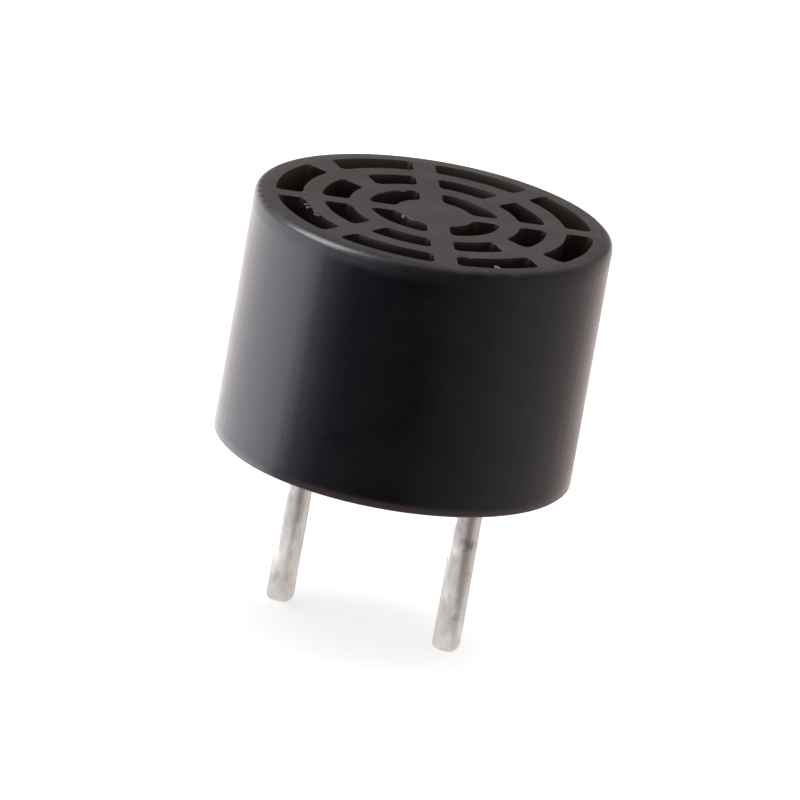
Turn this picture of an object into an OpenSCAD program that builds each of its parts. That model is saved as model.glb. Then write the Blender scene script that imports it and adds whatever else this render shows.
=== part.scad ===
// Open-type ultrasonic transducer. A moulded case has a grille of ring-shaped slots for
// its face and is closed at the back by a base that holds two square pins. Inside, a
// ceramic disc under a metal plate shakes an aluminium cone, which drives the air.
//
// Millimetres. The origin is the centre of the case's open end, which seats on the board.
// +Z runs up through the grille. The pins stand on the X axis and point down.

/* [Case] */
// Outside diameter of the case
case_d = 10; // [9.6:0.1:13]
// Height from the open end to the top of the grille
case_h = 7.1; // [5.9:0.1:10]
// Thickness of the wall beside the vibrator
case_wall = 0.52; // [0.45:0.01:0.8]
// Thickness of the grille face
face_t = 0.8; // [0.5:0.05:1.2]
// Radius of the rounding along the top edge
top_round = 0.2; // [0.05:0.05:0.3]
// Chamfer along the outside of the open end
foot_chamfer = 0.08; // [0.04:0.01:0.12]
// Chamfer along the inside of the open end, which leads the base in
mouth_chamfer = 0.08; // [0.04:0.01:0.12]
// Width of the step inside the open end that the base seats against
step_w = 0.13; // [0.1:0.01:0.2]

/* [Grille] */
// Diameter of the hub in the middle of the grille
hub_d = 2.16; // [1.6:0.02:3]
// How many rings of slots lie between the hub and the wall
slot_rings = 3; // [2:1:4]
// Width of the solid ring between two rings of slots
web_w = 0.54; // [0.4:0.02:0.8]
// Width of the bar that crosses the whole face
wide_bar_w = 0.64; // [0.5:0.02:0.9]
// Width of the bar at right angles to it
thin_bar_w = 0.5; // [0.4:0.02:0.8]
// Width of the diagonal spokes, which stop short of the hub
spoke_w = 0.58; // [0.4:0.02:0.8]
// Angle at which the spoke that follows the wide bar widens outwards, in degrees
spoke_flare = 27; // [0:1:30]
// Radius of the corners of each slot
slot_corner_r = 0.16; // [0.04:0.02:0.2]
// Radius where the bars run into the hub
hub_corner_r = 0.24; // [0.1:0.02:0.3]
// Ledge of the face inside the wall, at the outer edge of the slots
grille_ledge = 0.05; // [0.02:0.01:0.2]
// Turn of the thin bar from the line through the pins, in degrees
grille_turn = 27.6; // [0:0.1:90]

/* [Base] */
// Depth of the base's back face inside the open end
base_recess = 0.35; // [0.2:0.05:0.6]
// Thickness of the base's flange
flange_t = 1.2; // [0.9:0.1:1.6]
// Height of the base's spigot above the step
spigot_h = 0.3; // [0.2:0.05:0.6]
// Height of the ring-shaped seat above the base's floor
seat_h = 0.9; // [0.8:0.05:1.2]
// Radial width of the seat
seat_w = 0.5; // [0.4:0.05:0.7]
// Distance of the seat's outer edge inside the plate's edge
seat_inset = 0.1; // [0:0.05:0.3]
// Clearance round the base in the case
base_fit = 0.02; // [0.01:0.01:0.05]
// Diameter of the lead-in round each pin on the back face
well_d = 1.1; // [0.95:0.05:1.4]
// Depth of that lead-in
well_h = 0.2; // [0.1:0.05:0.3]

/* [Pins] */
// Distance between the pins' centres
pin_pitch = 5.08; // [4.6:0.02:5.4]
// Side of a pin's square section
pin_w = 0.6; // [0.5:0.02:0.7]
// Radius along a pin's long edges
pin_edge_r = 0.1; // [0.03:0.01:0.12]
// Length of a pin below the open end
pin_l = 5; // [3:0.5:14]
// Height of a pin's inner end above the base's floor
stub_h = 0.35; // [0.2:0.05:0.5]
// How far each side of a pin narrows at its tip
tip_inset = 0.1; // [0.05:0.01:0.15]
// Length of the narrowing at the tip
tip_l = 0.16; // [0.08:0.02:0.4]
// Width of the shoulders that lock a pin in the base
shoulder_w = 1; // [0.8:0.05:1.2]
// Height of those shoulders
shoulder_h = 0.5; // [0.3:0.05:0.7]
// Clearance between a pin and the plastic round it
pin_fit = 0.005; // [0.005:0.005:0.02]

/* [Vibrator] */
// Gap between the metal plate's edge and the wall
plate_gap = 0.78; // [0.4:0.02:1.2]
// Thickness of the metal plate
plate_t = 0.2; // [0.15:0.05:0.4]
// Width of the plate's margin that the ceramic leaves bare
plate_margin = 0.85; // [0.75:0.05:1.2]
// Thickness of the ceramic disc
disc_t = 0.25; // [0.15:0.05:0.4]
// Thickness of the adhesive film between the plate and the ceramic
film_t = 0.03; // [0.02:0.01:0.05]
// Distance of the film's edge inside the ceramic's edge
film_inset = 0.05; // [0.02:0.01:0.15]
// Thickness of the rubber bead between the seat and the plate
bead_t = 0.25; // [0.2:0.05:0.4]
// Distance of the bead inside both edges of the seat
bead_inset = 0.05; // [0.02:0.01:0.1]

/* [Cone] */
// Diameter of the cone's mouth
cone_d = 5.4; // [4:0.1:6]
// Diameter of the cone's flat foot
foot_d = 1.1; // [0.9:0.1:1.6]
// Thickness of the cone's sheet
cone_t = 0.12; // [0.08:0.01:0.2]
// Gap between the cone's mouth and the underside of the face
cone_gap = 0.9; // [0.5:0.1:1.5]
// Width and height of the adhesive bead round the foot
collar_w = 0.3; // [0.2:0.05:0.5]

/* [Leads and solder] */
// Diameter of the lead wires
wire_d = 0.1; // [0.06:0.01:0.14]
// Distance that the signal lead runs inward from its pin
signal_run = 1.1; // [0.8:0.05:1.6]
// Radius of the bend in each lead
lead_bend_r = 0.3; // [0.2:0.02:0.34]
// Radius of the solder at a pin's foot
solder_foot_r = 0.62; // [0.55:0.01:0.7]
// Radius of the solder at the top of a pin
solder_top_r = 0.5; // [0.46:0.01:0.54]
// Height of the rounded cap of solder
cap_h = 0.2; // [0.12:0.02:0.26]
// Radius of the solder dots on the plate and the ceramic
dot_r = 0.3; // [0.2:0.02:0.34]
// Height of those dots
dot_h = 0.2; // [0.14:0.02:0.26]
// Clearance between the solder and what it holds
solder_fit = 0.005; // [0.005:0.005:0.02]

/* [Back seal] */
// Width of the epoxy bead across the base's back face
seal_w = 0.4; // [0.2:0.05:0.6]
// Height of the bead up the case's wall
seal_h = 0.22; // [0.1:0.02:0.3]
// Thickness of the bead at its feathered edges
seal_edge = 0.04; // [0.02:0.01:0.06]

/* [Hidden] */

$fn = 96;
over = 0.2;              // how far a cut runs past the solid it cuts
curve_fit = 0.005;       // clearance where two curved faces are glued together
blend = 0.00005;         // overlap that joins a rounding to the faces it runs into

// Radii of the case
case_r = case_d / 2;
bore_r = case_r - case_wall;
step_r = bore_r + step_w;
grille_r = bore_r - grille_ledge;
hub_r = hub_d / 2;
slot_w = (grille_r - hub_r - (slot_rings - 1) * web_w) / slot_rings;

// Heights, from the open end upwards
step_z = base_recess + flange_t;
floor_z = step_z + spigot_h;
seat_z = floor_z + seat_h;
plate_z = seat_z + bead_t;
cone_z = plate_z + plate_t;
ceiling_z = case_h - face_t;
cone_top_z = ceiling_z - cone_gap;
disc_z = plate_z - film_t - disc_t;
stub_z = floor_z + stub_h;

// Radii of the vibrator and its seat
plate_r = bore_r - plate_gap;
disc_r = plate_r - plate_margin;
seat_out_r = plate_r - seat_inset;
seat_in_r = seat_out_r - seat_w;
notch_w = 2 * solder_foot_r + 0.2;

// The cone's slope, and the sheet's thickness measured level
foot_r = foot_d / 2;
cone_slope = atan2(cone_top_z - cone_z, cone_d / 2 - foot_r);
sheet_level_t = cone_t / sin(cone_slope);

// The pins and the leads' ends
pin_x = pin_pitch / 2;
wire_r = wire_d / 2;
wire_lie = wire_r + solder_fit;
dot_signal_x = signal_run - pin_x;
dot_ground_x = (disc_r + plate_r) / 2;

// ---------------------------------------------------------------- shared shapes

function polar(r, angle) = [r * cos(angle), r * sin(angle)];

// The point at radius r on the edge of a bar. The edge runs beside the line at the given
// angle, half_w away from it; side is 1 on the far side of the line and -1 on the near one.
function on_edge(r, angle, half_w, side) =
    polar(sqrt(r * r - half_w * half_w), angle) + polar(half_w, angle + side * 90);

module ring(r_out, r_in, h) {
    difference() {
        cylinder(r = r_out, h = h);
        translate([0, 0, -over]) cylinder(r = r_in, h = h + 2 * over);
    }
}

// A slice of a sphere: a dome with base radius r and height h, on the XY plane.
module dome(r, h) {
    sphere_r = (r * r + h * h) / (2 * h);
    intersection() {
        translate([0, 0, h - sphere_r]) sphere(r = sphere_r);
        translate([-r, -r, 0]) cube([2 * r, 2 * r, h]);
    }
}

// A square with rounded corners, centred.
module rounded_square(w, r) {
    flat = w - 2 * r;
    square([w, flat], center = true);
    square([flat, w], center = true);
    for (x = [-1, 1], y = [-1, 1]) translate([x * flat / 2, y * flat / 2]) circle(r = r);
}

// ---------------------------------------------------------------- the grille

// The bars that cut ring k of the slots: [angle, width] of each, all the way round.
// The diagonal spokes stop outside the innermost ring.
function bars(k) = [
    for (i = [0 : 7])
        if (i % 2 == 0 || k > 0)
            [i * 45, i % 4 == 0 ? thin_bar_w : i % 4 == 2 ? wide_bar_w : spoke_w]
];

// The near edge of a spoke that widens outwards from the radius r_in, as a bar whose own
// edge it would be.
function flared(bar, r_in) =
    let (half = bar[1] / 2, start = sqrt(r_in * r_in - half * half))
    [bar[0] - spoke_flare, 2 * (half * cos(spoke_flare) - start * sin(spoke_flare))];

// What rounding takes off a slot's corner. The corner lies on the arc of radius r_arc,
// beside the bar at the given angle; side is 1 where the slot follows the bar and -1
// where it comes before it, and way is 1 on the slot's outer arc and -1 on its inner.
module corner_waste(r_arc, angle, half_w, side, way, r) {
    r_centre = r_arc - way * r;
    turn = angle + side * asin((half_w + r) / r_centre);
    centre = polar(r_centre, turn);
    on_arc = polar(r_arc, turn);
    on_bar = centre + polar(r, angle - side * 90);
    corner = polar(r_arc, angle + side * asin(half_w / r_arc));
    beyond = 1.3;
    difference() {
        polygon([centre, for (p = [on_arc, corner, on_bar]) centre + beyond * (p - centre)]);
        translate(centre) circle(r = r + blend);
    }
}

// One slot: the part of a ring between bar a and bar b, with its corners rounded.
module slot(r_in, r_out, a, b, r_inner_corner) {
    half_a = a[1] / 2;
    half_b = b[1] / 2;
    near = 0.9 * r_in;
    far = 2 * r_out;
    difference() {
        intersection() {
            difference() {
                circle(r = r_out);
                circle(r = r_in);
            }
            polygon([on_edge(near, a[0], half_a, 1), on_edge(far, a[0], half_a, 1),
                     polar(far, (a[0] + b[0]) / 2),
                     on_edge(far, b[0], half_b, -1), on_edge(near, b[0], half_b, -1)]);
        }
        corner_waste(r_out, a[0], half_a, 1, 1, slot_corner_r);
        corner_waste(r_out, b[0], half_b, -1, 1, slot_corner_r);
        corner_waste(r_in, a[0], half_a, 1, -1, r_inner_corner);
        corner_waste(r_in, b[0], half_b, -1, -1, r_inner_corner);
    }
}

// Every slot of the grille, ring by ring.
module slots() {
    for (k = [0 : slot_rings - 1]) {
        r_in = hub_r + k * (slot_w + web_w);
        all = bars(k);
        for (i = [0 : len(all) - 1]) {
            last = i == len(all) - 1;
            next = last ? [360, all[0][1]] : all[i + 1];
            widens = k > 0 && i % 4 == 2;
            slot(r_in, r_in + slot_w, all[i], widens ? flared(next, r_in) : next,
                 k == 0 ? hub_corner_r : slot_corner_r);
        }
    }
}

// ---------------------------------------------------------------- the case and the base

// Half of the case's outline, solid, with the top edge rounded and the foot chamfered.
module case_outline() {
    polygon([[0, 0], [case_r - foot_chamfer, 0], [case_r, foot_chamfer],
             [case_r, case_h - top_round], [0, case_h - top_round]]);
    square([case_r - top_round, case_h]);
    translate([case_r - top_round, case_h - top_round]) circle(r = top_round);
}

// Half of the hollow: the bore, the step and the chamfered mouth.
module bore_outline() {
    translate([0, -over]) square([bore_r, ceiling_z + over]);
    translate([0, -over]) square([step_r, step_z + over]);
    polygon([[0, -over], [step_r + mouth_chamfer + over, -over],
             [step_r, mouth_chamfer], [0, mouth_chamfer]]);
}

module case() {
    color([0.12, 0.12, 0.13]) difference() {
        rotate_extrude() case_outline();
        rotate_extrude() bore_outline();
        translate([0, 0, ceiling_z - over]) rotate([0, 0, grille_turn])
            linear_extrude(height = face_t + 2 * over) slots();
    }
}

// The two gaps in the seat that the leads pass through, above the height z.
module seat_notches(z) {
    translate([-case_r, -notch_w / 2, z]) cube([case_d, notch_w, case_h]);
}

module base() {
    color([0.1, 0.1, 0.11]) difference() {
        union() {
            translate([0, 0, base_recess]) cylinder(r = step_r - base_fit, h = flange_t);
            translate([0, 0, base_recess])
                cylinder(r = bore_r - base_fit, h = flange_t + spigot_h);
            difference() {
                translate([0, 0, step_z]) ring(seat_out_r, seat_in_r, spigot_h + seat_h);
                seat_notches(floor_z);
            }
        }
        for (side = [-1, 1]) translate([side * pin_x, 0, 0]) {
            pin_body(pin_fit);
            translate([0, 0, base_recess - over])
                cylinder(r = well_d / 2 + over, h = over);
            translate([0, 0, base_recess])
                cylinder(r1 = well_d / 2, r2 = pin_w / 2, h = well_h);
        }
    }
}

module rim_seal() {
    outer_r = step_r - curve_fit;
    color([0.2, 0.12, 0.06]) rotate_extrude()
        polygon([[outer_r - seal_w, base_recess], [outer_r - seal_w, base_recess - seal_edge],
                 [outer_r - seal_edge, base_recess - seal_h],
                 [outer_r, base_recess - seal_h], [outer_r, base_recess]]);
}

// ---------------------------------------------------------------- the pins

// A pin's outline seen from the side, narrowed at the tip, turned into a slab.
module tip_slab(gap) {
    half = pin_w / 2 + gap;
    rotate([90, 0, 0]) translate([0, 0, -shoulder_w])
        linear_extrude(height = 2 * shoulder_w)
            polygon([[-half, stub_z + gap], [-half, tip_l - pin_l], [tip_inset - half, -pin_l],
                     [half - tip_inset, -pin_l], [half, tip_l - pin_l], [half, stub_z + gap]]);
}

// A pin at the origin, grown by a gap on every side where the base fits round it.
module pin_body(gap = 0) {
    intersection() {
        translate([0, 0, -pin_l]) linear_extrude(height = pin_l + stub_z + gap)
            rounded_square(pin_w + 2 * gap, pin_edge_r);
        tip_slab(gap);
        rotate([0, 0, 90]) tip_slab(gap);
    }
    translate([0, 0, base_recess + flange_t / 2])
        cube([pin_w + 2 * gap, shoulder_w + 2 * gap, shoulder_h + 2 * gap], center = true);
}

module pin_signal() {
    color([0.75, 0.74, 0.72]) translate([-pin_x, 0, 0]) pin_body();
}

module pin_ground() {
    color([0.75, 0.74, 0.72]) translate([pin_x, 0, 0]) pin_body();
}

// ---------------------------------------------------------------- the vibrator

module support_bead() {
    color([0.85, 0.85, 0.82]) difference() {
        translate([0, 0, seat_z]) ring(seat_out_r - bead_inset, seat_in_r + bead_inset, bead_t);
        seat_notches(seat_z - over);
    }
}

module metal_plate() {
    color([0.78, 0.68, 0.45]) translate([0, 0, plate_z]) cylinder(r = plate_r, h = plate_t);
}

module plate_bond() {
    color([0.7, 0.6, 0.3]) translate([0, 0, plate_z - film_t])
        cylinder(r = disc_r - film_inset, h = film_t);
}

module piezo_disc() {
    color([0.82, 0.8, 0.74]) translate([0, 0, disc_z]) cylinder(r = disc_r, h = disc_t);
}

module resonator_cone() {
    mouth_r = cone_d / 2;
    inner_foot_r = foot_r - sheet_level_t + cone_t / tan(cone_slope);
    color([0.8, 0.81, 0.83]) rotate_extrude()
        polygon([[0, cone_z], [foot_r, cone_z], [mouth_r, cone_top_z],
                 [mouth_r - sheet_level_t, cone_top_z], [inner_foot_r, cone_z + cone_t],
                 [0, cone_z + cone_t]]);
}

module cone_bond() {
    inner_r = foot_r + curve_fit / sin(cone_slope);
    color([0.7, 0.6, 0.3]) rotate_extrude()
        polygon([[inner_r, cone_z], [foot_r + collar_w, cone_z],
                 [inner_r + collar_w / tan(cone_slope), cone_z + collar_w]]);
}

// ---------------------------------------------------------------- leads and solder

// A wire that rises from the origin, bends over and runs level along +X.
module lead(rise, run, r) {
    cylinder(r = r, h = rise - lead_bend_r);
    translate([lead_bend_r, 0, rise - lead_bend_r]) rotate([90, 0, 0])
        rotate([0, 0, 90]) rotate_extrude(angle = 90) translate([lead_bend_r, 0]) circle(r = r);
    translate([lead_bend_r, 0, rise]) rotate([0, 90, 0]) cylinder(r = r, h = run - lead_bend_r);
}

// Up from the top of its pin and inward, level, under the ceramic.
module signal_path(gap = 0) {
    translate([-pin_x, 0, stub_z])
        lead(disc_z - wire_lie - stub_z, signal_run, wire_r + gap);
}

// Outward, level, from the top of its pin and up to the plate's bare margin.
module ground_path(gap = 0) {
    translate([dot_ground_x, 0, plate_z]) rotate([0, 180, 0])
        lead(plate_z - wire_lie - stub_z, dot_ground_x - pin_x, wire_r + gap);
}

module lead_signal() {
    color([0.72, 0.45, 0.3]) signal_path();
}

module lead_ground() {
    color([0.72, 0.45, 0.3]) ground_path();
}

// Solder on a pin's inner end: a cone of it round the stub and a dome on top.
module pin_solder() {
    cylinder(r1 = solder_foot_r, r2 = solder_top_r, h = stub_h);
    translate([0, 0, stub_h]) dome(solder_top_r, cap_h);
}

module solder_pin_signal() {
    color([0.7, 0.71, 0.73]) difference() {
        translate([-pin_x, 0, floor_z]) pin_solder();
        translate([-pin_x, 0, 0]) pin_body(solder_fit);
        signal_path(solder_fit);
    }
}

module solder_pin_ground() {
    color([0.7, 0.71, 0.73]) difference() {
        translate([pin_x, 0, floor_z]) pin_solder();
        translate([pin_x, 0, 0]) pin_body(solder_fit);
        ground_path(solder_fit);
    }
}

module solder_disc() {
    color([0.7, 0.71, 0.73]) difference() {
        translate([dot_signal_x, 0, disc_z]) rotate([180, 0, 0]) dome(dot_r, dot_h);
        signal_path(solder_fit);
    }
}

module solder_plate() {
    color([0.7, 0.71, 0.73]) difference() {
        translate([dot_ground_x, 0, plate_z]) rotate([180, 0, 0]) dome(dot_r, dot_h);
        ground_path(solder_fit);
    }
}

case();
base();
rim_seal();
pin_signal();
pin_ground();
support_bead();
metal_plate();
plate_bond();
piezo_disc();
resonator_cone();
cone_bond();
lead_signal();
lead_ground();
solder_pin_signal();
solder_pin_ground();
solder_disc();
solder_plate();
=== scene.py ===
"""Small open ultrasonic transducer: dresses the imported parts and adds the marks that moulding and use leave.

Lengths are in metres unless a name ends in _mm, and angles are in degrees. The part stands with its pins
down: Z points up, the grille faces up, the pins lie along X, and the case stands on the plane Z = 0.
"""

import logging
import math
import random
from dataclasses import dataclass, field
from enum import Enum
from functools import cache
from typing import Optional, Union

import bmesh
import bpy
from mathutils import Matrix, Vector, noise


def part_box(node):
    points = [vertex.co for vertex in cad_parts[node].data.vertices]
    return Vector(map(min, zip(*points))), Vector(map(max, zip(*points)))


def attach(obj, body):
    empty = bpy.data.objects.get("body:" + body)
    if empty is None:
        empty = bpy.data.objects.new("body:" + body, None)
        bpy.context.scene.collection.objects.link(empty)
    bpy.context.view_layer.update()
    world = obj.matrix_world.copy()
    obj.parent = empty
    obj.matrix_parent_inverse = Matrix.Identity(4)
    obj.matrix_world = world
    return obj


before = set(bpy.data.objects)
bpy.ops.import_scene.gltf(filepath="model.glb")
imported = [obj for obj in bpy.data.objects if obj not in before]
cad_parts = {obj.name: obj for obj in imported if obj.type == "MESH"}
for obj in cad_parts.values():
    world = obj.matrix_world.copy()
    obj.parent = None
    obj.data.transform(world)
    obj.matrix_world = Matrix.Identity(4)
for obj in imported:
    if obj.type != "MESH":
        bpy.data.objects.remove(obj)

MM = 0.001
ROOT = "root"
log = logging.getLogger("transducer")

Colour = tuple[float, float, float]
Node = bpy.types.Node
Socket = bpy.types.NodeSocket
Tree = bpy.types.NodeTree
Piece = bpy.types.Object
Shape = bmesh.types.BMesh
Feed = Union[float, tuple, Socket]
Profile = tuple[tuple[float, float], ...]

WHITE: Colour = (1.0, 1.0, 1.0)


# ---- Wiring shader nodes ----


class Graph:
    """A node tree while it is being wired."""

    def __init__(self, tree: Tree) -> None:
        """Starts wiring a tree.

        Args:
            tree: The node tree, which may already hold nodes.
        """
        self.tree = tree

    def node(self, kind: str, **settings: object) -> Node:
        """Adds a node.

        Args:
            kind: Blender's type name without its ShaderNode or NodeGroup prefix.
            settings: Properties of the node to set.

        Returns:
            The new node.
        """
        prefix = "" if kind.startswith("NodeGroup") else "ShaderNode"
        made = self.tree.nodes.new(prefix + kind)
        for name, value in settings.items():
            setattr(made, name, value)
        return made

    def feed(self, socket: Socket, value: Feed) -> None:
        """Links a socket to another one, or sets its own number or colour.

        Args:
            socket: The input to feed.
            value: An output socket, a number, a vector or a colour.
        """
        if isinstance(value, Socket):
            self.tree.links.new(value, socket)
        elif isinstance(value, tuple) and socket.type == "RGBA":
            socket.default_value = (*value[:3], 1.0)
        else:
            socket.default_value = value

    def math(self, operation: str, a: Feed, b: Feed = 0.0) -> Socket:
        """Adds one step of arithmetic.

        Args:
            operation: The Math node's operation.
            a: First number.
            b: Second number.

        Returns:
            The result's socket.
        """
        made = self.node("Math", operation=operation)
        self.feed(made.inputs[0], a)
        self.feed(made.inputs[1], b)
        return made.outputs[0]

    def times(self, a: Feed, b: Feed) -> Socket:
        """Multiplies two numbers."""
        return self.math("MULTIPLY", a, b)

    def rest(self, share: Feed) -> Socket:
        """Gives what a share leaves of 1."""
        return self.math("SUBTRACT", 1.0, share)

    def past(self, value: Feed, start: float, least: float = 0.0) -> Socket:
        """Gives how far a number has passed a start, and never less than the least."""
        return self.math("MAXIMUM", self.math("SUBTRACT", value, start), least)

    def normal(self) -> Socket:
        """Gives the surface's own normal."""
        return self.node("NewGeometry").outputs["Normal"]

    def emission(self, colour: Feed, strength: float = 1.0) -> Socket:
        """Adds a shader that glows.

        Args:
            colour: Its colour.
            strength: How strongly it glows.

        Returns:
            The shader's socket.
        """
        made = self.node("Emission")
        self.feed(made.inputs["Color"], colour)
        self.feed(made.inputs["Strength"], strength)
        return made.outputs[0]

    def blend(self, factor: Feed, a: Socket, b: Socket) -> Socket:
        """Blends two shaders.

        Args:
            factor: 0 for a, 1 for b.
            a: First shader.
            b: Second shader.

        Returns:
            The blended shader's socket.
        """
        made = self.node("MixShader")
        for socket, value in zip(made.inputs, (factor, a, b)):
            self.feed(socket, value)
        return made.outputs[0]

    def total(self, *terms: tuple[Feed, float]) -> Socket:
        """Adds up weighted terms.

        Args:
            terms: Pairs of a number's socket and its weight.

        Returns:
            The sum's socket.
        """
        made: Feed = 0.0
        for value, weight in terms:
            step = self.node("Math", operation="MULTIPLY_ADD")
            self.feed(step.inputs[0], value)
            self.feed(step.inputs[1], weight)
            self.feed(step.inputs[2], made)
            made = step.outputs[0]
        return made

    def mix(self, factor: Feed, a: Feed, b: Feed, kind: str = "FLOAT") -> Socket:
        """Mixes two numbers or two colours.

        Args:
            factor: 0 for a, 1 for b.
            a: First number or colour.
            b: Second number or colour.
            kind: "FLOAT" or "RGBA".

        Returns:
            The mixture's socket.
        """
        made = self.node("Mix", data_type=kind, clamp_factor=True)
        first, second, out = (2, 3, 0) if kind == "FLOAT" else (6, 7, 2)
        self.feed(made.inputs[0], factor)
        self.feed(made.inputs[first], a)
        self.feed(made.inputs[second], b)
        return made.outputs[out]

    def tint(self, factor: Feed, a: Feed, b: Feed) -> Socket:
        """Mixes two colours: a at factor 0, b at factor 1."""
        return self.mix(factor, a, b, "RGBA")

    def step(self, value: Feed, low: float, high: float) -> Socket:
        """Rises smoothly from 0 to 1.

        Args:
            value: The number to follow.
            low: Where the rise starts.
            high: Where it ends. It may be below low, for a fall.

        Returns:
            The eased number's socket.
        """
        made = self.node("MapRange", interpolation_type="SMOOTHSTEP")
        self.feed(made.inputs["Value"], value)
        if low <= high:
            ends = (low, high, 0.0, 1.0)
        else:
            ends = (high, low, 1.0, 0.0)
        for name, number in zip(("From Min", "From Max", "To Min", "To Max"), ends):
            made.inputs[name].default_value = number
        return made.outputs["Result"]

    def scaled(self, vector: Feed, scale: Feed) -> Socket:
        """Stretches a vector.

        Args:
            vector: The vector's socket.
            scale: A vector, or a number or its socket for an even stretch.

        Returns:
            The stretched vector's socket.
        """
        if isinstance(scale, tuple):
            made = self.node("VectorMath", operation="MULTIPLY")
            self.feed(made.inputs[0], vector)
            made.inputs[1].default_value = scale
        else:
            made = self.node("VectorMath", operation="SCALE")
            self.feed(made.inputs[0], vector)
            self.feed(made.inputs["Scale"], scale)
        return made.outputs[0]

    def noise(
        self, vector: Feed, scale: Feed, detail: float, roughness: float = 0.5, distortion: float = 0.0
    ) -> Socket:
        """Adds cloudy noise.

        Args:
            vector: Where to read it.
            scale: Clouds for each unit of the vector.
            detail: Finer layers on top of the first.
            roughness: How strong the finer layers are.
            distortion: How much the clouds swirl.

        Returns:
            The noise value's socket, about 0.5 on average.
        """
        made = self.node("TexNoise", noise_dimensions="3D")
        self.feed(made.inputs["Vector"], vector)
        self.feed(made.inputs["Scale"], scale)
        made.inputs["Detail"].default_value = detail
        made.inputs["Roughness"].default_value = roughness
        made.inputs["Distortion"].default_value = distortion
        return made.outputs["Fac"]

    def cells(self, vector: Feed, scale: Feed) -> Node:
        """Adds a pattern of cells.

        Args:
            vector: Where to read it.
            scale: Cells for each unit of the vector.

        Returns:
            The cell texture's node.
        """
        made = self.node("TexVoronoi", feature="F1")
        self.feed(made.inputs["Vector"], vector)
        self.feed(made.inputs["Scale"], scale)
        return made

    def parts(self, vector: Feed) -> tuple[Socket, ...]:
        """Splits a vector.

        Args:
            vector: The vector.

        Returns:
            Its X, Y and Z sockets.
        """
        made = self.node("SeparateXYZ")
        self.feed(made.inputs[0], vector)
        return tuple(made.outputs)

    def joined(self, x: Feed, y: Feed, z: Feed) -> Socket:
        """Joins three numbers into a vector.

        Args:
            x: Its X.
            y: Its Y.
            z: Its Z.

        Returns:
            The vector's socket.
        """
        made = self.node("CombineXYZ")
        for socket, value in zip(made.inputs, (x, y, z)):
            self.feed(socket, value)
        return made.outputs[0]

    def bump(self, height: Feed, depth: float, normal: Optional[Socket] = None) -> Socket:
        """Turns a height into a surface normal.

        Args:
            height: The height's socket, 0 to 1.
            depth: What a height of 1 stands for, in metres.
            normal: The normal to start from.

        Returns:
            The normal's socket.
        """
        made = self.node("Bump")
        made.inputs["Distance"].default_value = depth
        self.feed(made.inputs["Height"], height)
        if normal is not None:
            self.feed(made.inputs["Normal"], normal)
        return made.outputs["Normal"]

    def effect(self, group: Tree, **inputs: Feed) -> Socket:
        """Places a shared effect.

        Args:
            group: The effect's node group.
            inputs: Its inputs by name, with _ for each space.

        Returns:
            The group node's outputs.
        """
        made = self.node("Group", node_tree=group)
        for name, value in inputs.items():
            self.feed(made.inputs[name.replace("_", " ")], value)
        return made.outputs


# ---- Effects that several finishes share ----


class Core(Graph):
    """The inside of a shared effect while it is being wired."""

    def __init__(self, name: str, outputs: tuple[str, ...], **inputs: float) -> None:
        """Starts a node group that reads a Position.

        Args:
            name: The group's name.
            outputs: The numbers that it gives.
            inputs: The other numbers that it takes, with their starting values.
        """
        super().__init__(bpy.data.node_groups.new(name, "ShaderNodeTree"))
        sockets = self.tree.interface
        sockets.new_socket("Position", in_out="INPUT", socket_type="NodeSocketVector")
        for plug, start in inputs.items():
            made = sockets.new_socket(plug, in_out="INPUT", socket_type="NodeSocketFloat")
            made.default_value = start
        for plug in outputs:
            sockets.new_socket(plug, in_out="OUTPUT", socket_type="NodeSocketFloat")
        self.taken = self.node("NodeGroupInput").outputs
        self.given = self.node("NodeGroupOutput").inputs
        self.place = self.taken["Position"]

    def give(self, **outputs: Feed) -> Tree:
        """Feeds the group's outputs by name.

        Args:
            outputs: What each output gives.

        Returns:
            The finished node group.
        """
        for name, value in outputs.items():
            self.feed(self.given[name], value)
        return self.tree


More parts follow.
